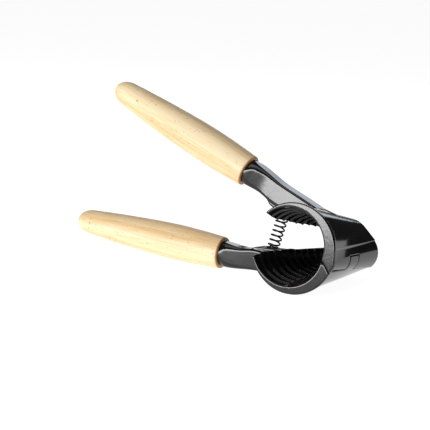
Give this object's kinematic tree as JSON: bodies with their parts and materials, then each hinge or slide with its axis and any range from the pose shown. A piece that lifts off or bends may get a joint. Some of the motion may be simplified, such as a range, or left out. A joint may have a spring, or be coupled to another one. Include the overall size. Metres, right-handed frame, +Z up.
{
  "type": "plier nutcracker",
  "caption": "Plier nutcracker: hinged half-cone bowls with toothed insides, turned wooden handles and a coil spring that holds the bowls open.",
  "frame": {"origin": "middle of the tool's box on the floor it lies on, at rest with the spring holding it open", "axes": "+Z up from the floor; +X from the handle tips towards the hinged nose; the wide mouth of the bowls opens towards -Y"},
  "size_m": [0.1884, 0.064, 0.1038],
  "materials": {
    "enamelled_casting": "gloss",
    "turned_wood": "satin",
    "spring_steel": "blackened",
    "pin_steel": "satin"
  },
  "bodies": {
    "lower_half": {"lower_jaw": "enamelled_casting", "lower_handle": "turned_wood", "return_spring": "spring_steel"},
    "upper_half": {"upper_jaw": "enamelled_casting", "upper_handle": "turned_wood", "hinge_pin": "pin_steel"}
  },
  "joints": [
    {"name": "jaw_hinge", "type": "hinge", "parent": "lower_half", "child": "upper_half", "pos_m": [0.08399, -0.00238, 0.01824], "axis": [0.0245, -0.9941, 0.1055], "range_deg": [0, 22], "stiffness_Nm_per_rad": 3.4, "springref_deg": -5.73, "deforming": ["return_spring"]}
  ]
}
